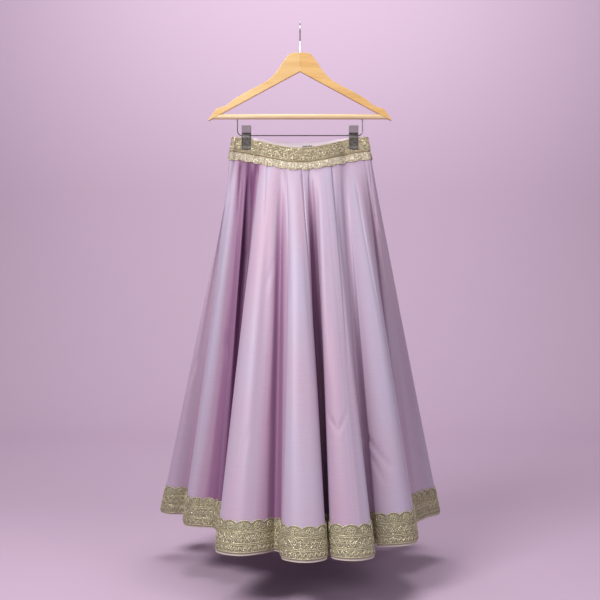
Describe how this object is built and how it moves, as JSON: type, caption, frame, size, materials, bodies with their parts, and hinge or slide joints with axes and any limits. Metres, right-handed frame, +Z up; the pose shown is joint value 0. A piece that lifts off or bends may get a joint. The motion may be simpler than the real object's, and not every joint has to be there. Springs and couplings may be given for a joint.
{
  "type": "lehenga skirt on a wooden clip hanger",
  "caption": "Long flared lehenga skirt in lilac satin with gold embroidered waistband and hem border, hung by its waist from a wooden hanger with metal clips.",
  "frame": {"origin": "inside of the crown of the hanger hook, where the hook rests on a rail", "axes": "+Z is up, +X is to the right seen from the front, and the front of the skirt faces -Y"},
  "size_m": [0.6995, 0.7308, 1.2076],
  "materials": {
    "satin": "shot satin, pinkish lilac with bluish highlights",
    "gold_work": "gold thread embroidery with sequins on cloth",
    "wood": "clear varnish on light wood",
    "steel": "bright drawn steel wire",
    "clip_steel": "dark pressed steel"
  },
  "bodies": {
    "root": {"gore_front_right": "satin", "gore_right_front": "satin", "gore_right_back": "satin", "gore_back_right": "satin", "gore_back_left": "satin", "gore_left_back": "satin", "gore_left_front": "satin", "gore_front_left": "satin", "hem_border_front_right": "gold_work", "hem_border_right_front": "gold_work", "hem_border_right_back": "gold_work", "hem_border_back_right": "gold_work", "hem_border_back_left": "gold_work", "hem_border_left_back": "gold_work", "hem_border_left_front": "gold_work", "hem_border_front_left": "gold_work", "band_front": "gold_work", "band_back_right": "gold_work", "band_back_left": "gold_work", "band_trim_front": "gold_work", "band_trim_back_right": "gold_work", "band_trim_back_left": "gold_work", "facing_front": "satin", "facing_back_right": "satin", "facing_back_left": "satin", "waist_hook": "steel", "waist_bar": "steel", "hanger_arm_left": "wood", "hanger_arm_right": "wood", "hanger_rod": "wood", "hanger_hook": "steel", "drop_wire": "steel", "clip_left_front": "clip_steel", "clip_left_back": "clip_steel", "clip_left_spring": "steel", "clip_right_front": "clip_steel", "clip_right_back": "clip_steel", "clip_right_spring": "steel"}
  },
  "joints": []
}
